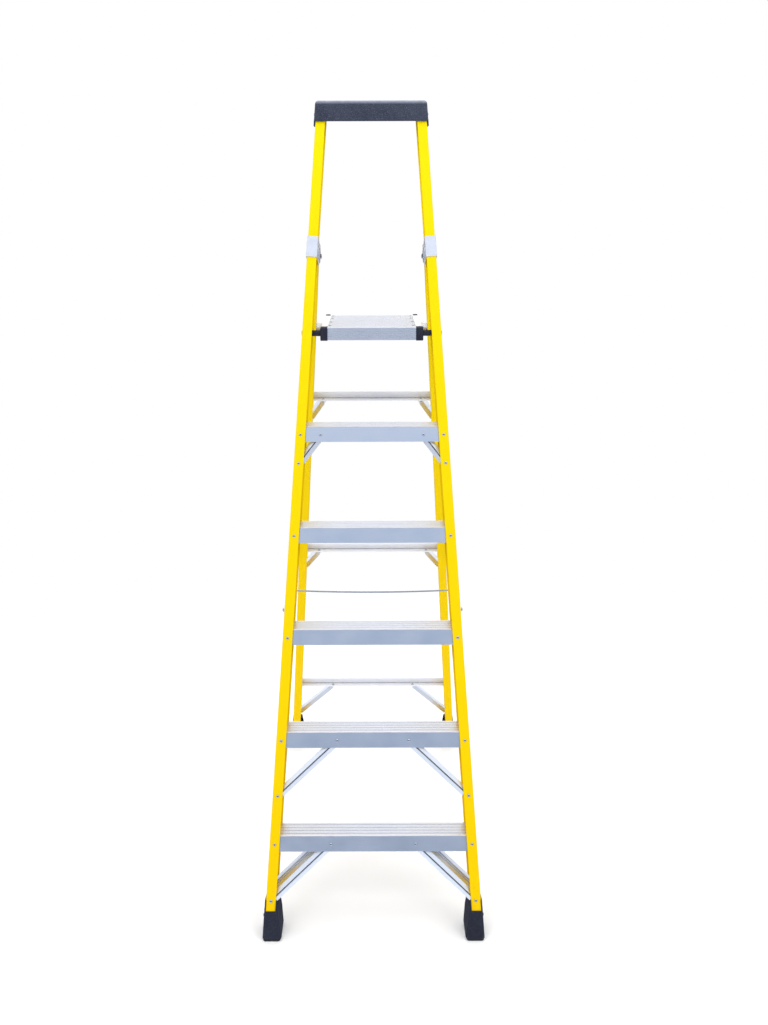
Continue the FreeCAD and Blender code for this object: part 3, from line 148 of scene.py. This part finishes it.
class Shade(Nodes):
    """A material around one Principled shader, on the coordinates of the shared frame."""

    def __init__(self, name):
        self.material = bpy.data.materials.new(name)
        self.material.use_nodes = True
        super().__init__(self.material.node_tree, "Object")
        self.shader = self.tree.nodes.new("ShaderNodeBsdfPrincipled")
        output = self.tree.nodes.new("ShaderNodeOutputMaterial")
        self.feed(output.inputs["Surface"], self.shader.outputs["BSDF"])

    def stretched(self, scale, turn=(0, 0, 0)):
        """Coordinates scaled per axis, so that noise runs long where the scale is small."""
        return self.node("ShaderNodeMapping",
                         {"Vector": self.place, "Scale": scale, "Rotation": turn})

    def noise(self, scale, detail, rough, vector=None):
        inputs = {"Vector": vector or self.place, "Scale": scale, "Detail": detail,
                  "Roughness": rough}
        return self.node("ShaderNodeTexNoise", inputs, output="Fac")

    def cells(self, scale):
        return self.node("ShaderNodeTexVoronoi", {"Vector": self.place, "Scale": scale},
                         output="Distance")

    def rounded(self, radius):
        """Surface normal with its sharp edges softened to that radius."""
        return self.node("ShaderNodeBevel", {"Radius": radius}, samples=3)

    def bump(self, height, depth, strength, edge_radius):
        """Surface normal under fine relief, with the edges softened too."""
        inputs = {"Height": height, "Distance": depth, "Strength": strength,
                  "Normal": self.rounded(edge_radius)}
        return self.node("ShaderNodeBump", inputs)

    def edge(self, radius):
        """One along sharp edges, falling to nothing within the radius."""
        flat = self.node("ShaderNodeNewGeometry", output="Normal")
        return self.span(self.dot(flat, self.rounded(radius)), 0.995, 0.80)

    def crevice(self, distance, open_at=0.85, shut_at=0.35):
        """One in tight hollows, such as recesses, grooves and seams, nothing on open surfaces."""
        open_sky = self.node("ShaderNodeAmbientOcclusion", {"Distance": distance},
                             output="AO", samples=6)
        return self.span(open_sky, open_at, shut_at)

    def finish(self, **values):
        """The material, with the shader's sockets set by name."""
        for key, value in values.items():
            self.feed(self.shader.inputs[key.replace("_", " ")], value)
        return self.material


# ---------------------------------------------------------------- materials
STEP_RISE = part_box("step_2")[1].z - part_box("step_1")[1].z
DECK_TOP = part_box("platform_deck")[1].z
LADDER_TOP = cad_bounds[1][2]
FRONT_RAIL_LEAN = 17.96
REAR_RAIL_LEAN = -15.85

# Depths below a ribbed top where the painted shade on the groove floors starts, is full, last full
# and gone.
TREAD_GROOVES = (0.0006, 0.0008, 0.0023, 0.0026)
DECK_GROOVES = (0.0004, 0.0006, 0.0018, 0.0020)

RUBBED_YELLOW = (0.80, 0.52, 0.02)
SCUFFED_YELLOW = (0.50, 0.34, 0.03)
YELLOW_GLOSS = (1.0, 0.85, 0.25)
# Painted shade on the floors of ribbed grooves.
GROOVE_SHADE = (0.34, 0.33, 0.42)
# Painted shade in tight crevices of aluminium.
CREVICE_SHADE = (0.07, 0.075, 0.12)
BRIGHT_ALUMINIUM = (0.96, 0.97, 0.99)
# Painted shade in hollows of plated steel.
HOLLOW_SHADE = (0.012, 0.014, 0.035)
BRIGHT_STEEL = (0.95, 0.95, 0.96)
PLASTIC_DUST = (0.06, 0.06, 0.07)
# Painted highlight along the crown of the cap.
CROWN_HIGHLIGHT = (0.27, 0.30, 0.39)
RUBBER_DUST = (0.07, 0.07, 0.075)
RUBBER_WORN = (0.12, 0.12, 0.12)


def shaded(colour, factor):
    return tuple(min(1.0, c * factor) for c in colour)


def fibreglass(name, lean, low, high):
    """Yellow pultruded channel: fibre veil along the rail, faint mottle, dulled edges and foot, and
    painted shade that darkens it towards the foot.

    Low and high are its colours at the foot and at the top of the ladder; the darker, more orange
    foot colour is painted shade.
    """
    s = Shade(name)
    height = s.along(UP)
    grain = s.stretched((1, 1, 0.04), (math.radians(lean), 0, 0))
    veil = s.noise(900, 4, 0.6, grain)
    streak = s.noise(110, 3, 0.6, grain)
    strand = s.noise(260, 2, 0.4, grain)
    mottle = s.noise(7, 4, 0.55)
    speck = s.noise(420, 2, 0.5)
    worn = s.times(s.edge(radius=0.0016), s.cover(s.noise(45, 4, 0.6), 0.42, 0.62))
    scuff = s.times(s.cover(height, 0.5, 0.05), s.cover(s.noise(70, 5, 0.7), 0.55, 0.70))
    # The base runs from low at the foot to high at the top: painted shade, darker towards the
    # floor.
    colour = s.layered(
        s.mix(s.cover(height, 0.1, LADDER_TOP), low, high),
        (s.cover(mottle, 0.3, 0.75, 0.25), shaded(low, 1.06)),
        (s.cover(streak, 0.35, 0.8, 0.20), shaded(low, 0.88)),
        (s.cover(strand, 0.68, 0.74, 0.22), shaded(high, 1.05)),
        (s.cover(speck, 0.66, 0.74, 0.28), shaded(low, 0.80)),
        (s.times(worn, 0.45), RUBBED_YELLOW),
        (s.times(scuff, 0.35), SCUFFED_YELLOW))
    rough = s.plus(s.span(veil, 0.2, 0.8, 0.36, 0.52), s.times(worn, 0.12))
    relief = s.plus(s.times(veil, 0.6), s.times(streak, 0.4))
    return s.finish(Base_Color=colour, Roughness=rough,
                    Normal=s.bump(relief, depth=0.00012, strength=0.6, edge_radius=0.0010),
                    Specular_IOR_Level=0.15, Specular_Tint=rgba(YELLOW_GLOSS))


def groove_floors(s, top, band, pitch=None):
    """One on the floors of the grooves in a ribbed top, or in tops a pitch apart."""
    start, full, last, gone = band
    depth = s.math("SUBTRACT", top, s.along(UP))
    if pitch:
        depth = s.math("FLOORED_MODULO", depth, pitch)
    return s.times(s.cover(depth, start, full), s.cover(depth, gone, last))


def extruded(name, base, along=(0.02, 1, 1), film=0.0, grooves=None):
    """Mill-finish aluminium: die lines along the extrusion, scuffs, worn edges, painted shade in
    seams and in any groove floors.

    Film is the cover of its white oxide; grooves are what groove_floors takes after the shade.
    """
    s = Shade(name)
    grain = s.stretched(along)
    lines = s.noise(700, 3, 0.7, grain)
    broad = s.noise(90, 3, 0.6, grain)
    blotch = s.noise(14, 5, 0.6)
    scuff = s.noise(160, 4, 0.65)
    worn = s.times(s.edge(radius=0.0009), s.cover(s.noise(120, 3, 0.6), 0.35, 0.6))
    # Painted shade: dark navy laid in crevices by ambient occlusion, its strength varied by noise.
    crevice_shade = s.times(s.crevice(distance=0.0045),
                    s.span(s.noise(55, 4, 0.6), 0.2, 0.6, 0.65, 1.0))
    layers = [(s.cover(lines, 0.3, 0.7, 0.30), shaded(base, 0.88)),
              (s.cover(blotch, 0.35, 0.75, 0.30), shaded(base, 1.07)),
              (s.cover(scuff, 0.62, 0.72, 0.30), shaded(base, 0.76))]
    if grooves:
        patchy = s.span(s.noise(35, 4, 0.6), 0.2, 0.7, 0.25, 0.65)
        # Painted shade: the groove floors of a ribbed top darkened lavender, in patches.
        layers.append((s.times(groove_floors(s, *grooves), patchy), GROOVE_SHADE))
    layers += [(crevice_shade, CREVICE_SHADE), (s.times(worn, 0.5), BRIGHT_ALUMINIUM)]
    rough = s.plus(s.span(lines, 0.2, 0.8, 0.30, 0.46), s.span(blotch, 0.3, 0.8, -0.04, 0.08))
    rough = s.math("SUBTRACT", rough, s.times(worn, 0.10))
    relief = s.plus(s.times(lines, 0.5), s.times(broad, 0.5))
    return s.finish(Base_Color=s.layered(base, *layers), Roughness=rough, Metallic=1.0 - film,
                    Normal=s.bump(relief, depth=0.00010, strength=0.5, edge_radius=0.0007))


def zinc_steel(name, base, film=0.0, hollow=(0.003, 0.80, 0.30)):
    """Zinc-plated steel: fine spangle, handling marks, painted shade in hollows, worn edges.

    Film is the cover of its white bloom; hollow is what crevice takes.
    """
    s = Shade(name)
    blotch = s.noise(40, 4, 0.6)
    fine = s.noise(1400, 2, 0.5)
    scratch = s.noise(500, 2, 0.4, s.stretched((1, 1, 0.05), (0.5, 0, 0.3)))
    worn = s.times(s.edge(radius=0.0008), s.cover(s.noise(150, 3, 0.6), 0.35, 0.6))
    colour = s.layered(
        base,
        (s.cover(s.cells(260), 0.1, 0.7, 0.30), shaded(base, 0.90)),
        (s.cover(blotch, 0.4, 0.75, 0.35), shaded(base, 0.80)),
        (s.cover(scratch, 0.66, 0.70, 0.35), shaded(base, 1.15)),
        # Painted shade: dark navy in hollows found by ambient occlusion.
        (s.crevice(*hollow), HOLLOW_SHADE),
        (s.times(worn, 0.55), BRIGHT_STEEL))
    rough = s.plus(s.span(blotch, 0.2, 0.8, 0.28, 0.44), s.span(fine, 0.3, 0.7, -0.03, 0.03))
    return s.finish(Base_Color=colour, Roughness=rough, Metallic=1.0 - film,
                    Normal=s.bump(fine, depth=0.00006, strength=0.5, edge_radius=0.0006))


def moulded(name, base, pale, rough=0.50, crown=None):
    """Moulded blue-black plastic: spark-eroded grain, paler clouds, worn edges, dusty foot, and a
    painted highlight along a crown.

    Crown is the height of a top along which a paler band is painted as a highlight.
    """
    s = Shade(name)
    height = s.along(UP)
    fine = s.noise(720, 3, 0.6)
    cloud = s.noise(11, 4, 0.6)
    speck = s.noise(450, 2, 0.5)
    worn = s.times(s.edge(radius=0.0022), s.span(s.noise(60, 4, 0.6), 0.3, 0.6, 0.3, 1.0))
    dust = s.times(s.cover(height, 0.10, 0.0), s.cover(s.noise(90, 5, 0.7), 0.45, 0.7))
    layers = [(s.cover(cloud, 0.38, 0.72, 0.75), pale),
              (s.cover(speck, 0.56, 0.66, 0.8), shaded(pale, 2.0)),
              (s.times(worn, 0.6), shaded(pale, 2.2)),
              (s.times(dust, 0.25), PLASTIC_DUST)]
    if crown:
        # Painted highlight: a paler band along the top of the crown.
        crown_highlight = s.times(s.cover(height, crown - 0.012, crown - 0.003),
                         s.span(s.noise(30, 5, 0.65), 0.2, 0.6, 0.55, 1.0))
        layers.append((crown_highlight, CROWN_HIGHLIGHT))
    gloss = s.plus(s.span(fine, 0.25, 0.75, rough - 0.06, rough + 0.08),
                   s.span(cloud, 0.3, 0.8, 0.04, -0.06))
    relief = s.plus(s.times(s.cells(900), 0.6), s.times(fine, 0.4))
    return s.finish(Base_Color=s.layered(base, *layers), Roughness=gloss,
                    Normal=s.bump(relief, depth=0.00018, strength=0.7, edge_radius=0.0014),
                    Specular_IOR_Level=0.30)


def rubber(name, base):
    """Black rubber: matt, dusty, worn grey where it meets the floor."""
    s = Shade(name)
    fine = s.noise(1200, 3, 0.6)
    floor = s.times(s.cover(s.along(UP), 0.004, 0.0), s.cover(s.noise(180, 4, 0.6), 0.4, 0.6))
    colour = s.layered(
        base,
        (s.cover(s.noise(60, 5, 0.65), 0.5, 0.8, 0.5), RUBBER_DUST),
        (s.times(floor, 0.6), RUBBER_WORN))
    return s.finish(Base_Color=colour, Roughness=s.span(fine, 0.2, 0.8, 0.72, 0.9),
                    Normal=s.bump(fine, depth=0.0002, strength=0.6, edge_radius=0.0008),
                    Specular_IOR_Level=0.3)


def paint(material, *nodes):
    for node in nodes:
        slots = NODES[node].material_slots
        if not slots:
            NODES[node].data.materials.append(material)
        for slot in slots:
            slot.material = material


def dress_cad_nodes():
    """A material for each of the record's slots, then the nodes that differ from their slot."""
    treads = (0.0, TREAD_GROOVES, STEP_RISE)
    by_slot = {
        # The front rails' foot and top colours differ by painted shade.
        "frp_rail": fibreglass("rail_yellow", FRONT_RAIL_LEAN,
                               (0.92, 0.60, 0.0010), (0.93, 0.78, 0.005)),
        "step_aluminium": extruded("tread_aluminium", (0.86, 0.87, 0.90), grooves=treads),
        "brace_aluminium": extruded("brace_aluminium", (0.90, 0.93, 0.98), (0.3, 1, 0.3), 0.22),
        "bar_aluminium": extruded("bar_aluminium", (0.93, 0.94, 0.99), film=0.52),
        "zinc_steel": zinc_steel("plated_steel", (0.90, 0.91, 0.95), 0.25),
        # Its wider hollow paints shade into the rivet recesses.
        "fastener_steel": zinc_steel("fastener_steel", (0.80, 0.82, 0.88),
                                     hollow=(0.006, 0.90, 0.70)),
        "wire_steel": zinc_steel("wire_steel", (0.50, 0.53, 0.60)),
        "black_plastic": moulded("moulded_black", (0.010, 0.011, 0.022), (0.020, 0.023, 0.042)),
        "pad_rubber": rubber("pad_rubber", (0.018, 0.018, 0.022)),
    }
    for part in frame["record"]["subparts"]:
        paint(by_slot[part["material_slot"]], part["node"])
    paint(extruded("deck_aluminium", (0.91, 0.92, 0.95), grooves=(DECK_TOP, DECK_GROOVES)),
          "platform_deck")
    # The rear rails' foot and top colours carry the same painted shade by height.
    paint(fibreglass("rear_rail_yellow", REAR_RAIL_LEAN,
                     (0.91, 0.61, 0.0010), (0.91, 0.73, 0.005)),
          "rear_rail_left", "rear_rail_right")
    # The cap's top gets the painted highlight.
    paint(moulded("cap_plastic", (0.019, 0.024, 0.045), (0.050, 0.060, 0.088), 0.46, LADDER_TOP),
          "top_cap")


# ---------------------------------------------------------------- studio
FLOOR_RADIUS = 30.0
FLOOR_CORNERS = 96
FLOOR_FADE = (1.3, 2.9)       # distances at which the floor starts to fade and is gone

# Lamps: name, place, target, width and depth, watts.
LAMPS = (("key", (-2.2, -4.2, 4.6), (0, 0, 1.2), (3.2, 2.4), 52),
         ("fill", (3.0, -3.6, 3.4), (0, 0, 1.2), (2.6, 2.6), 34),
         ("top", (0, 0.6, 5.2), (0, 0, 1.0), (4.0, 4.0), 80),
         ("back", (0.8, 4.6, 3.6), (0, 0, 1.3), (3.4, 2.6), 45))

# Room seen by reflections: sine of the height angle, then the light's colour. The front room is
# the camera's side of the ladder.
ROOM_FRONT = ((-1.0, (1.1, 1.1, 1.16)), (-0.829, (0.98, 1.08, 1.22)),
              (-0.656, (0.90, 0.99, 1.12)), (-0.35, (0.66, 0.70, 0.84)),
              (-0.10, (0.33, 0.40, 0.53)), (0.087, (0.18, 0.24, 0.34)),
              (0.156, (0.29, 0.38, 0.53)), (0.242, (0.36, 0.46, 0.65)),
              (0.342, (0.43, 0.53, 0.74)), (0.423, (0.46, 0.62, 0.88)),
              (0.559, (0.80, 0.90, 1.07)), (0.866, (1.22, 1.23, 1.26)))
ROOM_BACK = ((-1.0, (0.9, 0.9, 0.95)), (-0.6, (0.16, 0.17, 0.22)), (-0.04, (0.16, 0.17, 0.22)),
             (0.04, (1.16, 1.17, 1.24)), (1.0, (1.18, 1.19, 1.24)))
ROOM_BLEND = (0.05, 0.55)     # how far back a direction points as the front room gives way
ROOM_SOFT = (0.84, 0.84, 0.85)       # what lights the matt surfaces, apart from the lamps
BACKDROP = (1, 1, 1)


def studio_floor():
    """Pale floor that fades into the backdrop a few metres out."""
    mesh = bpy.data.meshes.new("studio_floor")
    bm = bmesh.new()
    bmesh.ops.create_circle(bm, cap_ends=True, radius=FLOOR_RADIUS, segments=FLOOR_CORNERS)
    bm.to_mesh(mesh)
    bm.free()
    floor = bpy.data.objects.new("studio_floor", mesh)
    bpy.context.scene.collection.objects.link(floor)
    s = Shade("studio_floor")
    tone = s.mix(s.cover(s.noise(0.8, 3, 0.5), 0.3, 0.7), (0.985, 0.985, 0.985),
                 (0.995, 0.995, 0.995))
    away = s.node("ShaderNodeVectorMath", {0: s.place}, output="Value", operation="LENGTH")
    mesh.materials.append(s.finish(Base_Color=tone, Roughness=0.9, Specular_IOR_Level=0.1,
                                   Alpha=s.span(away, *FLOOR_FADE, 1.0, 0.0)))
    floor.visible_glossy = False


def by_height(w, table):
    """Colour of a room by height, from a table of sines and colours."""
    ramp = w.tree.nodes.new("ShaderNodeValToRGB")
    stops = ramp.color_ramp.elements
    for i, (sine, colour) in enumerate(table):
        position = (sine + 1) / 2
        stop = stops[i] if i < 2 else stops.new(position)     # a new ramp has two stops
        stop.position, stop.color = position, rgba(colour)
    w.feed(ramp.inputs["Fac"], w.span(w.along(UP), -1.0, 1.0))
    return ramp.outputs["Color"]


def studio_world():
    """White backdrop to the eye, a structured room to reflections, an even one to matt surfaces."""
    world = bpy.data.worlds.new("studio")
    bpy.context.scene.world = world
    world.use_nodes = True
    w = Nodes(world.node_tree, "Generated")

    def light(colour):
        return w.node("ShaderNodeBackground", {"Color": rgba(colour), "Strength": 1.0})

    def choice(ray, other, chosen):
        is_ray = w.node("ShaderNodeLightPath", output=ray)
        return w.node("ShaderNodeMixShader", {0: is_ray, 1: other, 2: chosen})

    room = w.mix(w.span(w.along(BACK), *ROOM_BLEND), by_height(w, ROOM_FRONT),
                 by_height(w, ROOM_BACK))
    surface = choice("Is Glossy Ray", light(ROOM_SOFT), light(room))
    surface = choice("Is Camera Ray", surface, light(BACKDROP))
    w.feed(w.tree.nodes.new("ShaderNodeOutputWorld").inputs["Surface"], surface)


def studio_lights():
    for name, place, target, size, power in LAMPS:
        data = bpy.data.lights.new(name, "AREA")
        data.shape = "RECTANGLE"
        data.size, data.size_y = size
        data.energy = power
        light = bpy.data.objects.new(name, data)
        light.location = place
        light.rotation_mode = "QUATERNION"
        light.rotation_quaternion = (Vector(target) - Vector(place)).to_track_quat("-Z", "Y")
        light.visible_glossy = False
        bpy.context.scene.collection.objects.link(light)


make_camera()
studio_floor()
studio_world()
studio_lights()
dress_cad_nodes()

scene = bpy.context.scene
scene.view_settings.view_transform = "Standard"
scene.view_settings.look = "None"
